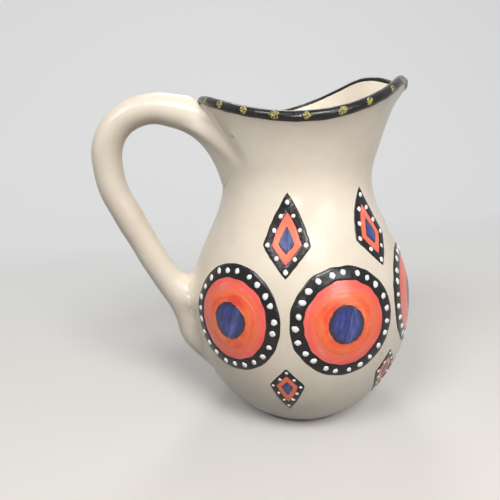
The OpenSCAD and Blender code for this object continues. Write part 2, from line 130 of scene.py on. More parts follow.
def body_normal(phi, z):
    """Outward normal as (radial, up)."""
    step = 0.05
    slope = (body_r(phi, z) - body_r(phi, z - step)) / step
    length = np.sqrt(1 + slope ** 2)
    return 1 / length, -slope / length


def polar(phi, r, z):
    return np.stack([r * cosd(phi), r * sind(phi), z + 0 * r], -1)


def off_body(phi, z, out):
    nr, nz = body_normal(phi, z)
    return polar(phi, body_r(phi, z) + out * nr, z + out * nz)


def angle_of(points):
    return np.degrees(np.arctan2(points[..., 1], points[..., 0]))


def stands_off(points):
    """How far points stand off the outside of the body, about."""
    phi = angle_of(points)
    r = np.hypot(points[..., 0], points[..., 1])
    z = points[..., 2]
    nr, _ = body_normal(phi, z)
    return (r - body_r(phi, z)) * nr


def smooth(x, low, high):
    """0 up to low and 1 from high on, with an easy rise between them."""
    share = np.clip((x - low) / (high - low), 0, 1)
    return share * share * (3 - 2 * share)


class Waves:
    """Smooth seeded unevenness: a sum of waves in chance directions, about -1 to 1."""

    COUNT = 10

    def __init__(self, length):
        directions = rng.normal(size=(self.COUNT, 3))
        directions /= np.linalg.norm(directions, axis=1)[:, None]
        self.waves = directions * (TAU / (length * rng.uniform(0.7, 1.6, self.COUNT)))[:, None]
        self.phase = rng.uniform(0, TAU, self.COUNT)
        self.scale = math.sqrt(2 / self.COUNT)

    def __call__(self, points):
        return np.sin(points @ self.waves.T + self.phase).sum(-1) * self.scale / 1.5


def wobble(turn, count, low, high):
    """An uneven edge round a closed line: turn in degrees, waves low to high per turn."""
    waves = np.arange(low, high + 1)
    size = rng.normal(size=(count, len(waves))) / waves ** 0.5
    phase = rng.uniform(0, TAU, (count, len(waves)))
    angle = np.radians(np.asarray(turn))[None, :, None] * waves + phase[:, None, :]
    edge = (np.cos(angle) * size[:, None, :]).sum(-1)
    return edge / np.abs(edge).max(-1, keepdims=True)


# ---- Meshes ----

def make_piece(name, points, faces, material, node, uv=None):
    """A piece from points in millimetres, on the body root, in place of the solids' node."""
    mesh = bpy.data.meshes.new(name)
    mesh.from_pydata((np.asarray(points) * MM).tolist(), [], faces)
    mesh.validate()
    if uv is not None:
        layer = mesh.uv_layers.new(name="brush")
        loops = np.empty(len(mesh.loops), int)
        mesh.loops.foreach_get("vertex_index", loops)
        layer.data.foreach_set("uv", np.asarray(uv, float)[loops].ravel())
    mesh.materials.append(material)
    mesh.polygons.foreach_set("use_smooth", [True] * len(mesh.polygons))
    piece = bpy.data.objects.new(name, mesh)
    bpy.context.scene.collection.objects.link(piece)
    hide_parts(node)
    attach(piece, "root")


def grid_faces(rows, columns, wrap_rows=False, start=0):
    """Quads of a grid of points[row, column] that closes round its columns."""
    faces = []
    for i in range(rows if wrap_rows else rows - 1):
        for j in range(columns):
            i2, j2 = (i + 1) % rows, (j + 1) % columns
            faces.append((start + i * columns + j, start + i * columns + j2,
                          start + i2 * columns + j2, start + i2 * columns + j))
    return faces


# ---- Handle's middle line in the XZ plane ----

HALF_T, HALF_W = HANDLE_T / 2, HANDLE_W / 2
TOP_Z = float(rim_z(180)) + HANDLE_RISE - HALF_T
OUTER_X = -(BELLY_R + HANDLE_OUT - HALF_T)
BEND_CENTRE = np.array([OUTER_X + BEND_R, TOP_Z - BEND_R])
SIDE_CENTRE = np.array([OUTER_X + SIDE_R, TOP_Z - BEND_R])


def facing_out(angle):
    return np.array([float(cosd(angle)), float(sind(angle))])


TAIL_OUT = facing_out(180 + TAIL_LEAN)
TAIL_TOP = np.array([-(float(turned_r(TAIL_H)) + TAIL_STAND), TAIL_H])
LOWER_CENTRE = TAIL_TOP + LOWER_R * TAIL_OUT
CURL_CENTRE = TAIL_TOP - (TAIL_R - HALF_T) * TAIL_OUT

root_span = np.array([-float(rim_r(180)),
                      float(lip_z(180)) - BAND_LEAST - ROOT_ROOM - HALF_T]) - BEND_CENTRE
ROOT_SLOPE = math.degrees(math.asin(BEND_R / np.linalg.norm(root_span))
                          - math.atan2(root_span[1], root_span[0]))
bend_span = SIDE_CENTRE - LOWER_CENTRE
GRIP_LEAN = math.degrees(math.atan2(bend_span[1], bend_span[0])
                         - math.acos((SIDE_R + LOWER_R) / np.linalg.norm(bend_span)))
ROOT_OUT = facing_out(90 - ROOT_SLOPE)
ROOT_END = BEND_CENTRE + BEND_R * ROOT_OUT
GRIP_OUT = facing_out(180 + GRIP_LEAN)
CURL_END = 62
GRIP_BULGE = 0.7
BEND_STEPS, SIDE_STEPS, GRIP_STEPS, LOWER_STEPS, CURL_STEPS = 44, 16, 26, 20, 40


def arc(centre, r, start, end, steps, sign):
    """Places along an arc, each with the direction of the handle's outer side there."""
    angles = start + (end - start) * np.arange(1, steps + 1) / steps
    return [(centre + r * facing_out(a), sign * facing_out(a)) for a in angles]


def handle_places():
    """Places on the middle line, from the root to the curled tail."""
    grip_top = SIDE_CENTRE + SIDE_R * GRIP_OUT
    grip_end = LOWER_CENTRE - LOWER_R * GRIP_OUT
    grip = []
    for i in range(1, GRIP_STEPS + 1):
        share = i / GRIP_STEPS
        bulge = GRIP_BULGE * math.sin(math.pi * share)
        grip.append((grip_top + (grip_end - grip_top) * share + bulge * GRIP_OUT, GRIP_OUT))
    return ([(ROOT_END, ROOT_OUT)]
            + arc(BEND_CENTRE, BEND_R, 90 - ROOT_SLOPE, 180, BEND_STEPS, 1)
            + arc(SIDE_CENTRE, SIDE_R, 180, 180 + GRIP_LEAN, SIDE_STEPS, 1)
            + grip
            + arc(LOWER_CENTRE, LOWER_R, GRIP_LEAN, TAIL_LEAN, LOWER_STEPS, -1)
            + arc(CURL_CENTRE, TAIL_R - HALF_T, 180 + TAIL_LEAN, 180 + CURL_END, CURL_STEPS, 1))


PLACES = handle_places()
PLACE_AT = np.array([at for at, _ in PLACES])
PLACE_OUT = np.array([out for _, out in PLACES])


def off_handle(points):
    """How far points stand off the handle's rod, about."""
    flat = points[..., [0, 2]]
    near = np.linalg.norm(flat[..., None, :] - PLACE_AT, axis=-1).argmin(-1)
    off = flat - PLACE_AT[near]
    out = PLACE_OUT[near]
    rise = (off * out).sum(-1)
    size = np.sqrt((rise / HALF_T) ** 2 + (points[..., 1] / HALF_W) ** 2)
    along = np.abs(off[..., 0] * out[..., 1] - off[..., 1] * out[..., 0])
    past = np.where((near == 0) | (near == len(PLACE_AT) - 1), along, 0)
    return np.hypot(np.maximum(0, size - 1) * HALF_T, past) + np.minimum(0, size - 1) * HALF_T


# ---- Soft joint of the handle's tail and the belly ----

JOINT_SIZE, FORK_SIZE, FORK_LOW, FORK_HIGH, FADE_LOW, FADE_HIGH = 6.5, 6.5, 56, 68, 92, 104
# Only points below this height, behind this x and within this y are near
JOINT_TOP, JOINT_X, JOINT_Y = 106, -28, 28
# Points less than this inside the joined face count as on it
ON_FACE = 0.004
# The furthest that a point moves, and how many places are tried on its way
REACH, TRIES = 9, 37
# The lift fades between these depths in the other piece, and these distances past it
DEEP, SHALLOW, PAST_LOW, PAST_HIGH = -2.5, -0.5, 2, 7
DIVE, DIVE_OVER = 0.25, 1.5


def joint_size(z):
    """Size of the soft joint: wider in the fork above the tail, and gone further up."""
    wide = JOINT_SIZE + FORK_SIZE * smooth(z, FORK_LOW, FORK_HIGH)
    return wide * (1 - smooth(z, FADE_LOW, FADE_HIGH)) + 0.01


def joined(points):
    """About the distance from the body and handle's rod joined softly; below 0 is inside."""
    body, rod = stands_off(points), off_handle(points)
    size = joint_size(points[..., 2])
    blend = np.clip(1 - np.abs(body - rod) / size, 0, 1)
    return np.minimum(body, rod) - blend ** 2 * size / 4


def joint_lift(points, normals, own, other):
    """How far each point of one piece moves along its normal to lie on the soft joint, and how
    far it then dives under the other's share. Deep inside the other piece it stays put."""
    lift, dive = np.zeros((2,) + points.shape[:-1])
    near = ((points[..., 2] < JOINT_TOP) & (points[..., 0] < JOINT_X)
            & (np.abs(points[..., 1]) < JOINT_Y))
    if near.any():
        near[near] = joined(points[near]) < -ON_FACE
    if not near.any():
        return lift, dive
    at, out = points[near], normals[near]
    steps = np.linspace(0, REACH, TRIES)
    depth = np.stack([joined(at + t * out) for t in steps])
    outside = depth >= 0
    found = outside.any(0)
    first = np.maximum(outside.argmax(0), 1)
    row = np.arange(len(at))
    before, after = depth[first - 1, row], depth[first, row]
    share = np.clip(-before / (after - before + 1e-9), 0, 1)
    crossing = steps[first - 1] + (steps[1] - steps[0]) * share
    crossing = np.where(found, crossing, steps[depth.argmax(0)])
    moved = at + crossing[:, None] * out
    past = own(moved) - other(moved)
    share = smooth(other(at), DEEP, SHALLOW) * (1 - smooth(past, PAST_LOW, PAST_HIGH))
    lift[near] = crossing * share
    dive[near] = DIVE * smooth(past, 0, DIVE_OVER)
    return lift, dive


# ---- Body ----

throwing = Waves(38)
hand = Waves(16)
THROWN_UNEVEN = 0.10
# The hollow starts this far beside the handle's middle, at this height, and leans
NECK_ROUND, HOLLOW_SIDE, HOLLOW_H, HOLLOW_IN = 40, 10.5, 158, 0.3
LEAN_COS, LEAN_SIN = 0.867, 0.5
HOLLOW_DEPTH, HOLLOW_MORE, HOLLOW_HALF = 1.1, 0.5, 3.9
DIMPLE_SIDE, DIMPLE_H, DIMPLE_R, DIMPLE_EDGE = 24.6, 144, 1.1, 2.2


def dent(phi, z):
    """Hollows pressed beside the handle's root as it was smoothed down, and a dimple."""
    side = np.radians(180 - np.abs(signed(phi))) * NECK_ROUND
    beside, above = side - HOLLOW_SIDE, z - HOLLOW_H
    off = beside * LEAN_COS + above * LEAN_SIN - HOLLOW_IN
    along = beside * LEAN_SIN - above * LEAN_COS
    depth = HOLLOW_DEPTH + HOLLOW_MORE * smooth(along, 0, 16)
    hollow = (depth * np.exp(-(off / HOLLOW_HALF) ** 2)
              * smooth(along, -4, 6) * (1 - smooth(along, 15, 34)))
    far = np.hypot(side - DIMPLE_SIDE, z - DIMPLE_H)
    dimple = (0.5 * np.exp(-(far / DIMPLE_R) ** 2)
              - 0.2 * np.exp(-((far - DIMPLE_EDGE) / 0.9) ** 2))
    return hollow + dimple * (signed(phi) < 0)


def body_lift(phi, z):
    """How far the finished face stands off the plain turned one."""
    points = off_body(phi, z, 0 * phi * z)
    nr, nz = body_normal(phi, z)
    normals = polar(phi, nr, nz)
    uneven = THROWN_UNEVEN * throwing(points) * smooth(z, 6, 16) * (1 - smooth(z, 118, 140))
    lift, dive = joint_lift(points, normals, stands_off, off_handle)
    return lift - dive + uneven - dent(phi, z)


def fine_body(phi, z):
    return off_body(phi, z, body_lift(phi, z))


def body_columns(steps, bias):
    """Angles round the body, closer together at the beak, or for a bias below 0 at the handle."""
    turn = 360 * np.arange(steps) / steps
    return turn - bias * np.degrees(np.sin(np.radians(turn)))


def lip_rows(phi):
    """Rings over the rounded lip, from its outside to its inside."""
    top = lip_z(phi)
    nr, nz = body_normal(phi, top)
    r = body_r(phi, top)
    rows = []
    for turn in np.linspace(0, 180, 14)[1:-1]:
        out_r = nr * cosd(turn) - nz * sind(turn)
        out_z = nz * cosd(turn) + nr * sind(turn)
        rows.append(polar(phi, r + LIP_R * (out_r - nr), top + LIP_R * (out_z - nz)))
    return rows


def floor_rows(phi, edge):
    """Rings round the inner corner and across the floor."""
    floor_z = FOOT_H + BOTTOM_T
    corner, ripple = 6, 0.25
    edge_r, edge_z = float(np.hypot(edge[0, 0], edge[0, 1])), float(edge[0, 2])
    rows = []
    for share in np.linspace(0, 1, 8)[1:]:
        sine = math.sin(share * math.pi / 2)
        r, z = edge_r - corner * sine * share, edge_z - (edge_z - floor_z) * sine
        rows.append(polar(phi, r + 0 * phi, z))
    last_r = float(np.hypot(rows[-1][0, 0], rows[-1][0, 1]))
    for share in np.linspace(1, 0.02, 12)[1:]:
        z = floor_z + ripple * math.cos(9 * share) * (1 - share)
        rows.append(polar(phi, last_r * share + 0 * phi, z))
    return rows


def make_body(material):
    """Rings up the outside, over the lip, down the inside and across the floor."""
    phi = body_columns(320, -0.35)
    inward = -WALL + 0 * phi
    bowl = math.asin((BELLY_H - FOOT_H) / DROP)
    low = BELLY_H - DROP * np.sin(bowl * (1 - np.linspace(0, 1, 56)))
    middle = np.linspace(BELLY_H, NECK_H, 70)[1:]
    rise = lip_z(phi) - NECK_H
    rows = [fine_body(phi, z + 0 * phi) for z in np.concatenate([low, middle])]
    rows += [fine_body(phi, NECK_H + rise * share) for share in np.linspace(0, 1, 42)[1:]]
    rows += lip_rows(phi)
    rows += [off_body(phi, NECK_H + rise * share, inward) for share in np.linspace(1, 0, 42)]
    rows += [off_body(phi, z + 0 * phi, inward) for z in middle[::-1][1:]]
    rings = [off_body(phi, z + 0 * phi, inward) for z in low[::-1]]
    rows += [ring for ring in rings if ring[0, 2] > FOOT_H + BOTTOM_T + 3]
    rows += floor_rows(phi, rows[-1])
    count = len(phi)
    faces = grid_faces(len(rows), count)
    faces.append(tuple(range((len(rows) - 1) * count, len(rows) * count)))
    faces.append(tuple(reversed(range(count))))
    make_piece("body_glazed", np.concatenate(rows), faces, material, "body")


def make_foot(material):
    """A trimmed ring of bare clay, a little worn where it stands."""
    phi = body_columns(180, 0)
    inner = FOOT_R - FOOT_W
    section = [(FOOT_R, FOOT_H), (FOOT_R, 1.1), (FOOT_R - 0.25, 0.45), (FOOT_R - 0.9, 0.04),
               (FOOT_R - 1.6, 0.0), (inner + 1.6, 0.0), (inner + 0.8, 0.08), (inner + 0.2, 0.6),
               (inner, 1.2), (inner, FOOT_H)]
    rows = [polar(phi, r + 0.04 * sind(phi * 3 + 40), z) for r, z in section]
    faces = grid_faces(len(rows), len(phi), wrap_rows=True)
    make_piece("foot_ring_trimmed", np.concatenate(rows), faces, material,
               "foot_ring")


# ---- Handle ----

SIDES = 72
TURN = 360 * np.arange(SIDES) / SIDES


def rod_ring(at, out):
    """A ring of the plain oval rod, at a place on its middle line."""
    rise = HALF_T * sind(TURN)
    return np.stack([at[0] + rise * out[0], HALF_W * cosd(TURN), at[1] + rise * out[1]], -1)


def on_neck(y, z, out):
    """Points off the handle's side of the body, at a distance y from the middle."""
    phi = 180 - np.degrees(np.arcsin(y / body_r(180.0 + 0 * z, z)))
    return off_body(phi, z, out + 0 * z)


def root_hits():
    """Where each line of the rod, drawn on along the root's slope, meets the neck."""
    start = rod_ring(ROOT_END, ROOT_OUT)
    z = np.full(SIDES, ROOT_END[1])
    for _ in range(8):
        on = on_neck(start[:, 1], z, 0)
        z = start[:, 2] - math.tan(math.radians(ROOT_SLOPE)) * (on[:, 0] - start[:, 0])
    return on_neck(start[:, 1], z, 0)


ROOT_X = root_hits()[np.argmax(sind(TURN)), 0]
SWELL, SWELL_NEAR, SWELL_FAR = 2.5, 3, 28
WEB_RINGS, WEB_BULGE, WEB_DIVE = 26, 0.25, 0.12
# How deep the tail may lie in the wall, below these heights
TAIL_DEPTH, TAIL_LOW, TAIL_HIGH = 1.2, 80, 90
# How uneven the handle is, where it runs free of the body
HAND_UNEVEN, FREE_NEAR, FREE_FAR = 0.16, 66, 78


def root_swell(x):
    """The pulled rod swells upward as it comes to the neck at ROOT_X."""
    return SWELL * (1 - smooth(ROOT_X - x, SWELL_NEAR, SWELL_FAR)) * np.maximum(0, sind(TURN))


def web_rings():
    """The root's flare on the neck: each line leaves the rod and lies down on the neck."""
    hit = root_hits()
    swell = root_swell(ROOT_X)
    rise, across = sind(TURN), cosd(TURN)
    reach = WEB_SIDE + (WEB_OUT - WEB_SIDE) * (1 - rise) / 2
    slope = math.radians(ROOT_SLOPE)
    run = np.array([math.cos(slope), 0, -math.sin(slope)])
    up, down = np.maximum(0, rise), np.maximum(0, -rise)
    y = (hit[:, 1] + WEB_SIDE * across * (1 - up)
         + WEB_SPREAD * np.sign(across) * (2 * down * across) ** 2)
    z = hit[:, 2] - WEB_DOWN * down ** 2
    end = on_neck(y, z, 0)
    phi = angle_of(end)
    nr, nz = body_normal(phi, z)
    normal = polar(phi, nr, nz)
    back = np.maximum(0, ((end - hit) * normal).sum(-1) / -(normal @ run))
    begin = hit - reach[:, None] * run
    begin[:, 2] += root_swell(ROOT_X - WEB_SIDE)
    corner = on_neck(hit[:, 1], hit[:, 2] + swell, WEB_BULGE * swell) - back[:, None] * run
    rings = []
    for share in np.linspace(1, 0, WEB_RINGS):
        ring = begin * (1 - share) ** 2 + corner * 2 * share * (1 - share) + end * share ** 2
        pressed = dent(angle_of(ring), ring[:, 2]) * (1 - smooth(stands_off(ring), 0.5, 4))
        rings.append(sunk(ring, pressed + WEB_DIVE * smooth(share, 0.9, 1)))
    return rings


def sunk(points, depth):
    """Points drawn straight in by a depth."""
    phi = np.arctan2(points[:, 1], points[:, 0])
    depth = np.broadcast_to(depth, phi.shape)
    return points - depth[:, None] * np.stack([np.cos(phi), np.sin(phi), 0 * phi], -1)


def handle_ring(at, out):
    """A ring of the finished handle, kept out of the space inside the body."""
    ring = rod_ring(at, out)
    if at[1] > NECK_H:
        ring[:, 2] += root_swell(at[0])
    normal = np.stack([sind(TURN) * out[0], cosd(TURN), sind(TURN) * out[1]], -1)
    lift, dive = joint_lift(ring, normal, off_handle, stands_off)
    ring = sunk(ring + normal * lift[:, None], dive)
    low = 1 - smooth(ring[:, 2], TAIL_LOW, TAIL_HIGH)
    too_deep = np.maximum(0, -TAIL_DEPTH - stands_off(ring)) * low
    return sunk(ring, -too_deep * 1.05)


def make_handle(material):
    """Rings from the root's flare, closed off in the neck's wall, to the tail's curled end."""
    rings = web_rings() + [handle_ring(at, out) for at, out in PLACES[1:]]
    inside = sunk(rings[0], 1.0)
    middle = inside.mean(0)
    caps = [sunk(middle + (inside - middle) * share, 0.8) for share in (0.35, 0.7)]
    points = np.stack(caps + [inside] + rings)
    uneven = hand(points)
    away = points - points.mean(1, keepdims=True)
    away /= np.maximum(np.linalg.norm(away, axis=-1, keepdims=True), 1e-6)
    free = smooth(-points[..., 0], FREE_NEAR, FREE_FAR)
    points = points + away * (HAND_UNEVEN * uneven * free)[..., None]
    faces = grid_faces(len(points), SIDES)
    faces.append(tuple(reversed(range(SIDES))))
    faces.append(tuple(range((len(points) - 1) * SIDES, len(points) * SIDES)))
    make_piece("handle_pulled", points.reshape(-1, 3), faces, material, "handle")


# ---- Painted rim ----

def lip_place(phi, run, out):
    """A point over the lip: run is the distance from its outer start, up and over."""
    down = np.maximum(0, -run)
    past = np.maximum(0, run - math.pi * LIP_R)
    z = lip_z(phi) - (down + past) * 0.9
    nr, nz = body_normal(phi, z)
    turn = np.clip(run / LIP_R * 180 / math.pi, 0, 180)
    out_r = nr * cosd(turn) - nz * sind(turn)
    out_z = nz * cosd(turn) + nr * sind(turn)
    r = body_r(phi, z)
    reach = LIP_R + out
    return polar(phi, r - LIP_R * nr + reach * out_r, z - LIP_R * nz + reach * out_z)


# The rim's paint makes room for the handle within this angle of it
DODGE = math.degrees(math.asin((HALF_W + WEB_SIDE) / MOUTH_R))


def band_depth(phi):
    """How far the black band comes down the outside: least at the handle, most at the drip."""
    return (BAND_W - (BAND_W - BAND_LEAST) * bump(180 - np.abs(signed(phi)), DODGE)
            + DRIP * bump(signed(phi) - DRIP_AT, DRIP_ANGLE))


def make_band(material):
    """The black coat over the lip: rows over its outside, then back along its underside."""
    phi = body_columns(480, 0.35)
    low_edge = wobble(phi, 1, 3, 40)[0] * 0.30
    high_edge = wobble(phi, 1, 3, 34)[0] * 0.35
    begin = -band_depth(phi) + low_edge
    end = math.pi * LIP_R + BAND_IN + high_edge
    rows = []
    steps = 30
    thick = Waves(7)
    for i in range(steps + 1):
        share = i / steps
        run = begin + (end - begin) * share
        depth = 0.42 * (1 - abs(2 * share - 1) ** 9) - 0.06
        on = lip_place(phi, run, 0 * phi)
        out = depth + 0.05 * thick(on) * (depth > 0.2)
        rows.append(lip_place(phi, run, out))
    for i in range(steps - 1, 0, -1):
        run = begin + (end - begin) * (i / steps)
        rows.append(lip_place(phi, run, -0.3 + 0 * phi))
    faces = [face[::-1] for face in grid_faces(len(rows), len(phi), wrap_rows=True)]
    make_piece("rim_band_painted", np.concatenate(rows), faces, material,
               "rim_band")


class Heap:
    """Collects many small closed shells into one piece."""

    def __init__(self):
        self.points, self.faces, self.uv, self.count = [], [], [], 0

    def add(self, top, under, uv=None, capped=True):
        """Two lists of rings that run out to the edge. Capped, the middle of each is closed;
        otherwise the two inner rings are joined."""
        top, under = np.array(top), np.array(under)
        rings, sides = top.shape[:2]
        self.points += [top.reshape(-1, 3), under.reshape(-1, 3)]
        if uv is not None:
            self.uv += [np.reshape(uv, (-1, 2))] * 2
        size = rings * sides
        first, below = self.count, self.count + size
        self.faces += [face[::-1] for face in grid_faces(rings, sides, start=first)]
        self.faces += grid_faces(rings, sides, start=below)
        if capped:
            self.faces.append(tuple(range(first, first + sides)))
            self.faces.append(tuple(reversed(range(below, below + sides))))
        else:
            self.faces += [face[::-1] for face in self.edge_faces(first, below, sides)]
        last = size - sides
        self.faces += self.edge_faces(first + last, below + last, sides)
        self.count += 2 * size

    @staticmethod
    def edge_faces(upper, lower, sides):
        """Faces that join two rings, given by their first points."""
        pairs = [(j, (j + 1) % sides) for j in range(sides)]
        return [(upper + j, lower + j, lower + k, upper + k) for j, k in pairs]

    def make(self, name, material, node, slot):
        uv = np.concatenate(self.uv) if self.uv else None
        make_piece(name, np.concatenate(self.points), self.faces, material, node, uv=uv)


def make_dabs(material):
    """Blots of yellow over the lip, each with a ridge inside its edge."""
    heap = Heap()
    sides = 40
    turn = 360 * np.arange(sides) / sides
    shares = (0.08, 0.3, 0.5, 0.66, 0.8, 0.9, 0.97, 1.0)
    for i in range(DABS):
        phi = 360 * i / DABS + rng.normal() * 0.6
        if 180 - abs(float(signed(phi))) <= DODGE:
            continue
        edge = DAB_D / 2 * (1 + 0.16 * wobble(turn, 1, 2, 9)[0]) * rng.uniform(0.72, 1.04)
        run0 = DAB_RUN + rng.normal() * 0.12
        top, under, uv = [], [], []
        for share in shares:
            along = share * edge * cosd(turn)
            run = run0 + share * edge * 0.88 * sind(turn)
            ridge = 0.16 + 0.14 * math.exp(-((share - 0.62) / 0.24) ** 2)
            hill = 0.32 + ridge * (1 - share ** 6)
            at = phi + np.degrees(along / float(rim_r(phi)))
            top.append(lip_place(at, run, hill + 0 * at))
            under.append(lip_place(at, run, 0.16 + 0 * at))
            uv.append(np.stack([i * 3.7 + share * cosd(turn), share * sind(turn)], -1))
        heap.add(top, under, uv)
    heap.make("rim_dabs_brushed", material, "rim_dabs", "yellow_paint")


# ---- Painted frieze: flat shapes laid on the turned face ----

PITCH = (360 - 2 * HANDLE_GAP) / ROUNDELS
ROUNDEL_ANGLES = [(i + 0.5) * PITCH + HANDLE_GAP - 180 for i in range(ROUNDELS)]
LOZENGE_ANGLES = [i * PITCH + HANDLE_GAP - 180 for i in range(1, ROUNDELS)]
# Of each row of lozenges: width, reach up and reach down; height; share of the full size
UPPER_ROW = ((LOZENGE_W, LOZENGE_UP, LOZENGE_DOWN), LOZENGE_H, 1.0)
LOWER_ROW = ((LOWER_SHARE * LOZENGE_W, LOWER_SHARE * LOZENGE_DOWN, LOWER_SHARE * LOZENGE_UP),
             LOWER_H, LOWER_SHARE)


def on_side(phi, height, across, up, out):
    """A flat shape's points, seen from straight in front, laid on the body."""
    z = height + up
    angle = phi + np.degrees(np.arcsin(np.clip(across / turned_r(z), -1, 1)))
    return off_body(angle, z, out + body_lift(angle, z))


def lay_coat(heap, phi, height, inner, outer, thick, base, steps, number, lean=0, line=False):
    """A coat between two closed edges of [side, 2] points: a whole disc, or a line round one.
    Its number and lean set its brushwork apart."""
    sides = len(outer)
    shares = (1 - np.cos(np.linspace(0, math.pi, steps))) / 2
    top, under, uv = [], [], []
    angle = 360 * np.arange(sides) / sides + lean
    for share in shares:
        x, y = (inner + (outer - inner) * share).T
        hill = 1 - (abs(2 * share - 1) ** 7 if line else share ** 12)
        top.append(on_side(phi, height, x, y, base + thick * hill))
        under.append(on_side(phi, height, x, y, -0.25 + 0 * x))
        uv.append(np.stack([10 * number + share * cosd(angle), share * sind(angle)], -1))
    heap.add(top, under, None if line else uv, capped=not line)


def circle(r, turn):
    return np.stack([r * cosd(turn), r * sind(turn)], -1)


def make_roundels(materials):
    """Six medallions: a coral ground, an orange glow, a navy eye and a black ring round them."""
    outline, ground, glow, eye = Heap(), Heap(), Heap(), Heap()
    sides = 150
    turn = 360 * np.arange(sides) / sides
    outer_r, inner_r = ROUNDEL_D / 2, ROUNDEL_D / 2 - LINE_W
    glow_r, eye_r = EYE_D / 2 + GLOW_W, EYE_D / 2
    middle = circle(0.3, turn)
    for k, phi in enumerate(ROUNDEL_ANGLES):
        # Each has one edge to spare
        edges = wobble(turn, 5, 2, 26)
        slow = wobble(turn, 3, 1, 5)
        lay_coat(ground, phi, ROUNDEL_H, middle, circle(inner_r + 0.9, turn),
                 thick=0.10, base=0.02, steps=14, number=k)
        lay_coat(glow, phi, ROUNDEL_H, middle,
                 circle(glow_r + 0.35 * edges[0] + 0.5 * slow[0], turn),
                 thick=0.07, base=0.12, steps=12, number=k)
        lay_coat(eye, phi, ROUNDEL_H, middle,
                 circle(eye_r + 0.30 * edges[1] + 0.45 * slow[1], turn),
                 thick=0.07, base=0.19, steps=12, number=k, lean=rng.uniform(-40, 40))
        lay_coat(outline, phi, ROUNDEL_H, circle(inner_r + 0.38 * edges[2], turn),
                 circle(outer_r + 0.36 * edges[3] - 0.2, turn),
                 thick=0.30, base=0.04, steps=11, number=k, line=True)
    outline.make("roundel_outlines_brushed", materials["black"], "roundel_outlines", "black_paint")
    ground.make("roundel_grounds_brushed", materials["coral"], "roundel_grounds", "coral_paint")
    glow.make("roundel_glows_brushed", materials["orange"], "roundel_glows", "orange_paint")
    eye.make("roundel_eyes_brushed", materials["navy"], "roundel_eyes", "navy_paint")


def lozenge_middle(size, margin):
    """Height of a lozenge's middle, and the share of its size that a margin leaves."""
    half, up, down = size[0] / 2, size[1], size[2]
    upper, lower = math.hypot(half, up), math.hypot(half, down)
    middle = (up * lower - down * upper) / (upper + lower)
    return middle, 1 - margin / ((up - middle) * half / upper)


def lozenge_edge(size, margin, turn):
    """Edge of a lozenge with softly rounded corners, drawn in by a margin."""
    middle, share = lozenge_middle(size, margin)
    half, up, down = size[0] / 2, size[1], size[2]
    across, rise = cosd(turn), sind(turn)
    tall = np.where(rise > 0, (up - middle) * share, (down + middle) * share)
    # At a power of 1 the sides are straight, and at 2 it is an ellipse
    power = 1.12
    r = (np.abs(across / (half * share)) ** power + np.abs(rise / tall) ** power) ** (-1 / power)
    x, y = r * across, r * rise + middle
    # The widest place is at height 0, and the middle is above or below it
    pull = -middle * share * np.abs(across) ** 3
    return np.stack([x, y + pull * (np.abs(x) / (half * share))], -1)


def make_lozenges(materials):
    """Two rows of small lozenges between the medallions, the lower ones upside down."""
    outline, ground, heart = Heap(), Heap(), Heap()
    sides = 112
    turn = 360 * np.arange(sides) / sides
    for k, phi in enumerate(LOZENGE_ANGLES):
        for size, height, share in (UPPER_ROW, LOWER_ROW):
            edges = wobble(turn, 4, 2, 18)

            def shape(margin, uneven, row):
                flat = lozenge_edge(size, share * margin, turn)
                centre = np.array([0, flat[:, 1].mean()])
                return centre + (flat - centre) * (1 + uneven * edges[row])[:, None]

            core = lozenge_edge(size, share * (FINE_LINE + LOZENGE_BORDER + 1.2), turn)
            dot = core.mean(0) + (core - core.mean(0)) * 0.08
            lay_coat(ground, phi, height, dot, shape(FINE_LINE - 0.7, 0, 0),
                     thick=0.10, base=0.02, steps=9, number=k)
            lay_coat(heart, phi, height, dot, shape(FINE_LINE + LOZENGE_BORDER, 0.05, 1),
                     thick=0.07, base=0.13, steps=9, number=k + ROUNDELS)
            lay_coat(outline, phi, height, shape(FINE_LINE, 0.03, 2), shape(0.1, 0.015, 3),
                     thick=0.28, base=0.04, steps=9, number=k, line=True)
    outline.make("lozenge_outlines_brushed", materials["black"], "lozenge_outlines", "black_paint")
    ground.make("lozenge_grounds_brushed", materials["coral"], "lozenge_grounds", "coral_paint")
    heart.make("lozenge_hearts_brushed", materials["navy"], "lozenge_hearts", "navy_paint")


def lozenge_corners(size, margin):
    middle, share = lozenge_middle(size, margin)
    half, up, down = size[0] / 2, size[1], size[2]
    return [np.array([x * share, middle + share * (y - middle)])
            for x, y in ((0, up), (-half, 0), (0, -down), (half, 0))]


def add_dot(heap, phi, height, across, up, width):
    """One raised dot of white slip: a low dome, stretched a little."""
    sides = 22
    turn = 360 * np.arange(sides) / sides
    edge = width / 2 * (1 + 0.10 * wobble(turn, 1, 2, 5)[0]) * rng.uniform(0.88, 1.12)
    stretch, lean = rng.uniform(0.9, 1.16), rng.uniform(0, 180)
    tall = rng.uniform(0.42, 0.62) * width / DOT_D
    top, under = [], []
    for share in (0.12, 0.35, 0.58, 0.76, 0.9, 0.98, 1.0):
        x, y = share * edge * cosd(turn), share * edge * sind(turn)
        along = (x * cosd(lean) + y * sind(lean)) * stretch
        aside = y * cosd(lean) - x * sind(lean)
        x, y = along * cosd(lean) - aside * sind(lean), aside * cosd(lean) + along * sind(lean)
        hill = 0.30 + tall * max(0, 1 - share ** 2.6) ** 0.62
        top.append(on_side(phi, height, across + x, up + y, hill + 0 * x))
        under.append(on_side(phi, height, across + x, up + y, 0.1 + 0 * x))
    heap.add(top, under)


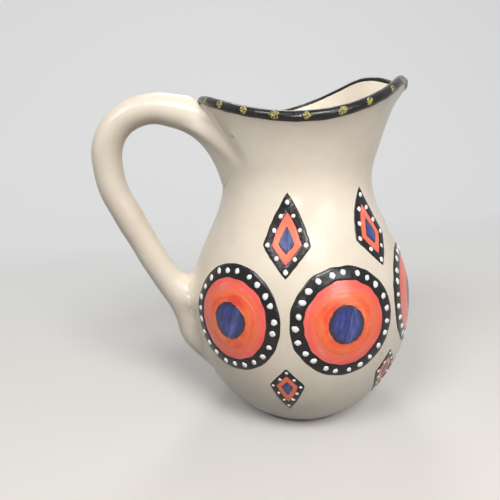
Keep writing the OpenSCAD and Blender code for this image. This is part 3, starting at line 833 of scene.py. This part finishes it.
def make_dots(material):
    """White dots on the medallions' black rings and on the lozenges' outlines."""
    heap = Heap()
    line_r = (ROUNDEL_D - LINE_W) / 2
    count = round(TAU * line_r / DOT_PITCH)
    for phi in ROUNDEL_ANGLES:
        for i in range(count):
            turn = math.radians(360 * (i + 0.5) / count + rng.normal() * 0.9)
            r = line_r + rng.normal() * 0.28
            add_dot(heap, phi, ROUNDEL_H, r * math.cos(turn), r * math.sin(turn), DOT_D)
    for size, height, share in (UPPER_ROW, LOWER_ROW):
        corners = lozenge_corners(size, share * FINE_LINE / 2)
        for phi in LOZENGE_ANGLES:
            for start, end in zip(corners, corners[1:] + corners[:1]):
                steps = round(float(np.linalg.norm(end - start)) / DOT_PITCH / share)
                for k in range(steps):
                    at = start + (end - start) * k / steps
                    add_dot(heap, phi, height, at[0] * 0.97 + rng.normal() * 0.12,
                            at[1] + rng.normal() * 0.12, 0.75 * share * DOT_D)
    heap.make("white_dots_raised", material, "white_dots", "white_paint")


# ---- Materials ----

# The colours' sockets on a Mix node
MIX_FIRST, MIX_SECOND = 6, 7


class Graph:
    """Short ways to add nodes to a new material or world."""

    def __init__(self, name, owners=bpy.data.materials, shader="Principled BSDF"):
        self.owner = owners.new(name)
        self.owner.use_nodes = True
        self.tree = self.owner.node_tree
        self.shader = self.tree.nodes[shader]

    def add(self, kind, **values):
        node = self.tree.nodes.new(kind)
        for key, value in values.items():
            setattr(node, key, value)
        return node

    def feed(self, socket, value):
        """Give a socket a number, a colour or what another node puts out."""
        if isinstance(value, bpy.types.NodeSocket):
            self.tree.links.new(value, socket)
        else:
            socket.default_value = as_colour(value) if socket.type == "RGBA" else value

    def place(self):
        """The place on the piece, in metres."""
        return self.add("ShaderNodeTexCoord").outputs["Object"]

    def brush(self):
        """The place on a painted shape."""
        return self.add("ShaderNodeUVMap", uv_map="brush").outputs["UV"]

    def noise(self, vector, scale, detail, rough, distortion=0.0):
        node = self.add("ShaderNodeTexNoise")
        for name, value in (("Vector", vector), ("Scale", scale), ("Detail", detail),
                            ("Roughness", rough), ("Distortion", distortion)):
            self.feed(node.inputs[name], value)
        return node.outputs["Fac"]

    def ramp(self, value, stops):
        """A colour or number by value, from stops of (value, colour or number)."""
        node = self.add("ShaderNodeValToRGB")
        elements = node.color_ramp.elements
        while len(elements) > 1:
            elements.remove(elements[0])
        elements[0].position, elements[0].color = stops[0][0], as_colour(stops[0][1])
        for at, colour in stops[1:]:
            elements.new(at).color = as_colour(colour)
        self.feed(node.inputs["Fac"], value)
        return node.outputs["Color"]

    def mix(self, share, first, second):
        node = self.add("ShaderNodeMix", data_type="RGBA")
        self.feed(node.inputs[0], share)
        self.feed(node.inputs[MIX_FIRST], first)
        self.feed(node.inputs[MIX_SECOND], second)
        return node.outputs[2]

    def shape(self):
        """On a painted shape: place from its middle, how far out (1 at the edge), its number."""
        split = self.add("ShaderNodeSeparateXYZ")
        self.feed(split.inputs[0], self.brush())
        x, y = self.maths("WRAP", split.outputs[0], 5, -5), split.outputs[1]
        out = self.maths("SQRT", self.plus(self.times(x, x), self.times(y, y)))
        return x, y, out, self.maths("SUBTRACT", split.outputs[0], x)

    def strokes(self, across, along, round_strokes):
        """Long brush strokes that run round the shape, or straight up it."""
        x, y, out, number = self.shape()
        reach = self.times(out if round_strokes else x, across)
        if round_strokes:
            x, y = self.maths("DIVIDE", x, out), self.maths("DIVIDE", y, out)
        join = self.add("ShaderNodeCombineXYZ")
        self.feed(join.inputs[0], self.plus(reach, self.times(number, 0.731)))
        self.feed(join.inputs[1], self.times(y, along))
        if round_strokes:
            self.feed(join.inputs[2], self.times(x, along))
        return self.noise(join.outputs[0], 1.0, 5, 0.6, 0.35)

    def maths(self, kind, *values):
        node = self.add("ShaderNodeMath", operation=kind)
        for socket, value in zip(node.inputs, values):
            self.feed(socket, value)
        return node.outputs[0]

    def plus(self, first, second):
        return self.maths("ADD", first, second)

    def times(self, first, second):
        return self.maths("MULTIPLY", first, second)

    def finish(self, colour, roughness, height=None, bump_mm=0.0, coat=0.0, coat_rough=0.05,
               ior=1.5):
        inputs = self.shader.inputs
        for name, value in (("Base Color", colour), ("Roughness", roughness), ("IOR", ior),
                            ("Coat Weight", coat), ("Coat Roughness", coat_rough)):
            self.feed(inputs[name], value)
        if height is not None:
            node = self.add("ShaderNodeBump")
            node.inputs["Strength"].default_value = 1.0
            node.inputs["Distance"].default_value = bump_mm * MM
            self.feed(node.inputs["Height"], height)
            self.feed(inputs["Normal"], node.outputs["Normal"])
            if coat:
                self.feed(inputs["Coat Normal"], node.outputs["Normal"])
        return self.owner


def as_colour(value):
    """A grey from 0 to 1, or a colour written as 0 to 255, as the shader wants it."""
    if isinstance(value, (int, float)):
        return (value, value, value, 1)
    plain = [v / 255 / 12.92 if v <= 10 else ((v / 255 + 0.055) / 1.055) ** 2.4 for v in value]
    return (*plain, 1)


def cream_glaze():
    g = Graph("cream_glaze_glossy")
    at = g.place()
    broad = g.noise(at, 14, 3, 0.5)
    patch = g.noise(at, 60, 4, 0.6)
    colour = g.ramp(broad, [(0.30, (220, 207, 189)), (0.50, (227, 215, 199)), (0.72, (231, 222, 208))])
    tint = g.ramp(patch, [(0.35, (215, 201, 181)), (0.65, (233, 224, 210))])
    colour = g.mix(0.35, colour, tint)
    specks = g.ramp(g.noise(at, 900, 2, 0.5), [(0.0, 0.0), (0.735, 0.0), (0.77, 1.0)])
    colour = g.mix(g.times(specks, 0.28), colour, (150, 130, 102))
    sheen = g.ramp(g.noise(at, 35, 3, 0.5), [(0.3, 0.27), (0.7, 0.35)])
    orange_peel = g.noise(at, 170, 2, 0.45)
    pits = g.ramp(g.noise(at, 300, 1, 0.4), [(0.14, 0.0), (0.24, 1.0)])
    height = g.plus(g.times(orange_peel, 0.6), g.times(pits, 0.25))
    return g.finish(colour, sheen, height, 0.08, coat=0.15, coat_rough=0.13, ior=1.42)


def bare_clay():
    g = Graph("bare_clay_fired")
    at = g.place()
    colour = g.ramp(g.noise(at, 120, 6, 0.65), [(0.3, (150, 134, 112)), (0.7, (178, 164, 142))])
    grit = g.ramp(g.noise(at, 1500, 2, 0.5), [(0.6, 0.0), (0.7, 1.0)])
    colour = g.mix(g.times(grit, 0.35), colour, (104, 88, 68))
    return g.finish(colour, 0.78, g.noise(at, 900, 5, 0.6), 0.12)


def black_paint():
    g = Graph("black_glaze_paint")
    at = g.place()
    thin = g.noise(at, 130, 5, 0.62)
    colour = g.ramp(thin, [(0.35, (9, 7, 8)), (0.58, (20, 16, 18)), (0.72, (48, 42, 43))])
    rough = g.ramp(g.noise(at, 240, 3, 0.5), [(0.3, 0.15), (0.7, 0.29)])
    height = g.plus(g.noise(at, 420, 3, 0.55), g.times(g.noise(at, 1500, 2, 0.5), 0.35))
    return g.finish(colour, rough, height, 0.13, coat=0.08, coat_rough=0.10, ior=1.44)


def yellow_paint():
    g = Graph("yellow_glaze_paint")
    blot = g.noise(g.brush(), 2.8, 5, 0.68, 0.7)
    fine = g.noise(g.place(), 1300, 3, 0.6)
    colour = g.ramp(fine, [(0.3, (128, 112, 30)), (0.52, (190, 176, 62)), (0.75, (232, 222, 130))])
    dark = g.ramp(blot, [(0.44, 0.0), (0.53, 1.0)])
    colour = g.mix(dark, colour, (34, 29, 16))
    return g.finish(colour, 0.28, blot, 0.15, coat=0.3, coat_rough=0.08)


def painted(name, stops, strokes, patches, fade, tint):
    """Brushed strokes and broad patches, with a tint by distance from the shape's middle."""
    g = Graph(name)
    at = g.place()
    lines = g.strokes(*strokes)
    broad = g.noise(at, patches, 3, 0.55)
    value = g.plus(g.times(lines, 0.62), g.times(broad, 0.38))
    colour = g.ramp(value, stops)
    uneven = g.plus(g.maths("SUBTRACT", lines, 0.5),
                    g.times(g.maths("SUBTRACT", broad, 0.5), 0.6))
    out = g.plus(g.shape()[2], g.times(uneven, 0.55))
    colour = g.mix(g.ramp(out, fade), colour, tint)
    height = g.plus(lines, g.times(g.noise(at, 700, 3, 0.5), 0.3))
    return g, colour, height


def coral_paint():
    g, colour, height = painted(
        "coral_glaze_paint",
        [(0.34, (218, 60, 52)), (0.44, (240, 86, 76)), (0.54, (247, 102, 92)), (0.66, (247, 134, 122))],
        (7.5, 1.5, True), 75,
        [(0.68, 0.85), (0.90, 0.0)], (249, 118, 72))
    return g.finish(colour, 0.32, height, 0.09, coat=0.4, coat_rough=0.10)


def orange_paint():
    g, colour, height = painted(
        "orange_glaze_paint",
        [(0.36, (236, 70, 40)), (0.46, (246, 92, 50)), (0.56, (250, 118, 68)), (0.68, (251, 146, 100))],
        (6.0, 1.4, True), 85,
        [(0.78, 0.0), (1.0, 0.8)], (249, 112, 70))
    return g.finish(colour, 0.32, height, 0.09, coat=0.4, coat_rough=0.10)


def navy_paint():
    """Strokes laid side by side, one of them paler, thinning to dark at the edge."""
    g, colour, height = painted(
        "navy_glaze_paint",
        [(0.32, (10, 12, 52)), (0.45, (30, 38, 106)), (0.56, (50, 64, 142)), (0.68, (96, 110, 176))],
        (6.5, 1.0, False), 160,
        [(0.66, 0.0), (0.94, 1.0)], (36, 24, 40))
    x = g.shape()[0]
    pale = g.ramp(x, [(0.08, 0.0), (0.26, 0.55), (0.42, 0.5), (0.60, 0.0)])
    pale = g.times(pale, g.ramp(g.strokes(9.0, 1.2, False), [(0.40, 0.0), (0.60, 1.0)]))
    colour = g.mix(pale, colour, (112, 128, 190))
    return g.finish(colour, 0.30, height, 0.10, coat=0.4, coat_rough=0.10)


def white_paint():
    g = Graph("white_glaze_paint")
    at = g.place()
    colour = g.ramp(g.noise(at, 420, 4, 0.6), [(0.3, (232, 230, 225)), (0.65, (249, 249, 247))])
    return g.finish(colour, 0.26, g.noise(at, 900, 3, 0.5), 0.08, coat=0.4, coat_rough=0.08)


# ---- Build ----

glaze = cream_glaze()
paints = {"black": black_paint(), "coral": coral_paint(), "orange": orange_paint(),
          "navy": navy_paint()}
make_body(glaze)
make_foot(bare_clay())
make_handle(glaze)
make_band(paints["black"])
make_dabs(yellow_paint())
make_roundels(paints)
make_lozenges(paints)
make_dots(white_paint())


# ---- Floor, light and camera ----

def background_rays(g):
    """1 for the rays that see the background: the camera's and the mirrored or bent ones."""
    path = g.add("ShaderNodeLightPath").outputs
    seen = path["Is Camera Ray"]
    for other in ("Is Glossy Ray", "Is Transmission Ray"):
        seen = g.maths("MAXIMUM", seen, path[other])
    return seen


def stage_paper():
    """Pale to look at, and less so right under the lamps, which are near it. What it throws back
    onto the object is less, as from a darker table."""
    g = Graph("stage_paper")
    split = g.add("ShaderNodeSeparateXYZ")
    g.feed(split.inputs[0], g.place())
    back = g.plus(g.times(split.outputs[1], 1.6), 0.35)
    pale = g.ramp(back, [(0.0, (226, 222, 217)), (0.45, (226, 224, 221)), (0.80, (226, 227, 226)),
                         (1.0, (226, 227, 227))])
    under_lamps = g.ramp(g.times(split.outputs[1], -1), [(0.22, 1.0), (0.85, 0.42)])
    pale = g.mix(under_lamps, 0.0, pale)
    seen = background_rays(g)
    material = g.finish(g.mix(seen, 0.04, pale), 0.95)
    g.shader.inputs["Specular IOR Level"].default_value = 0.0
    glow = g.add("ShaderNodeEmission")
    g.feed(glow.inputs["Color"], pale)
    mix = g.add("ShaderNodeMixShader")
    share = g.ramp(back, [(0.25, 0.0), (0.45, 0.04), (0.80, 0.40), (1.0, 0.72)])
    g.feed(mix.inputs[0], g.times(seen, share))
    g.feed(mix.inputs[1], g.shader.outputs[0])
    g.feed(mix.inputs[2], glow.outputs[0])
    output = next(n for n in g.tree.nodes if n.type == "OUTPUT_MATERIAL")
    g.feed(output.inputs["Surface"], mix.outputs[0])
    return material


def make_stage():
    """One sheet: a warm floor that sweeps up into a pale grey backdrop."""
    front, bend, sweep, top, half = -1.2, 0.45, 0.5, 1.8, 2.2
    steps = 24
    profile = [(front, 0.0), (0.0, 0.0), (bend, 0.0)]
    for i in range(1, steps + 1):
        turn = i / steps * math.pi / 2
        profile.append((bend + sweep * math.sin(turn), sweep - sweep * math.cos(turn)))
    profile.append((bend + sweep, top))
    points = [(x, y, z) for y, z in profile for x in (-half, half)]
    faces = [(2 * i, 2 * i + 1, 2 * i + 3, 2 * i + 2) for i in range(len(profile) - 1)]
    mesh = bpy.data.meshes.new("stage_sweep")
    mesh.from_pydata(points, [], faces)
    mesh.materials.append(stage_paper())
    mesh.polygons.foreach_set("use_smooth", [True] * len(mesh.polygons))
    stage = bpy.data.objects.new("stage_sweep", mesh)
    bpy.context.scene.collection.objects.link(stage)


def make_light():
    """Two soft lamps high in front, a low one that reaches under the lip, a weak one behind
    and a spot on the neck. The world looks paler than it lights."""
    def lamp(name, kind, turn, rise, aim, distance, energy):
        data = bpy.data.lights.new(name, kind)
        data.energy, data.color = energy, (1.0, 0.99, 0.965)
        holder = bpy.data.objects.new(name, data)
        bpy.context.scene.collection.objects.link(holder)
        away = Vector((cosd(rise) * sind(turn), -cosd(rise) * cosd(turn), sind(rise)))
        holder.location = Vector(aim) + distance * away
        holder.rotation_euler = away.to_track_quat("Z", "Y").to_euler()
        return data

    middle = (0, 0, 0.09)
    for name, turn, rise, energy in (("lamp_front", 10, 45, 9.8), ("lamp_left", -45, 45, 6.2),
                                     ("lamp_low", 28, 20, 3.5), ("lamp_back", 172, 48, 4.0)):
        lamp(name, "AREA", turn, rise, middle, 1.3, energy).size = 0.45
    spot = lamp("lamp_neck", "SPOT", -12, 9, (-0.004, 0, 0.143), 1.0, 21.0)
    spot.spot_size, spot.spot_blend, spot.shadow_soft_size = math.radians(6.5), 1.0, 0.05
    g = Graph("studio", bpy.data.worlds, "Background")
    bpy.context.scene.world = g.owner
    g.shader.inputs["Color"].default_value = (0.97, 0.985, 1.0, 1)
    strength = g.add("ShaderNodeMapRange")
    g.feed(strength.inputs["To Min"], 0.25)
    g.feed(strength.inputs["To Max"], 0.68)
    g.feed(strength.inputs["Value"], background_rays(g))
    g.feed(g.shader.inputs["Strength"], strength.outputs["Result"])


def make_camera():
    """At the photograph's angle: turned, tipped down and rolled a little. Angles in radians."""
    azimuth, distance, height = -0.2533, 0.240, 0.1541
    heading, pitch, roll = azimuth + 0.10355, 0.2785, -0.04704
    forward = Vector((-math.sin(heading) * math.cos(pitch),
                      math.cos(heading) * math.cos(pitch), -math.sin(pitch)))
    right = Vector((math.cos(heading), math.sin(heading), 0))
    up = right.cross(forward)
    right, up = (math.cos(roll) * right + math.sin(roll) * up,
                 math.cos(roll) * up - math.sin(roll) * right)
    data = bpy.data.cameras.new("camera")
    data.sensor_width = 36
    data.lens = 34.27272
    data.clip_start = 0.01
    camera = bpy.data.objects.new("camera", data)
    bpy.context.scene.collection.objects.link(camera)
    at = Vector((distance * math.sin(azimuth), -distance * math.cos(azimuth), height))
    turn = Matrix((right, up, -forward)).transposed().to_4x4()
    camera.matrix_world = Matrix.Translation(at) @ turn
    bpy.context.scene.camera = camera


make_stage()
make_light()
make_camera()
bpy.context.scene.view_settings.view_transform = "Standard"
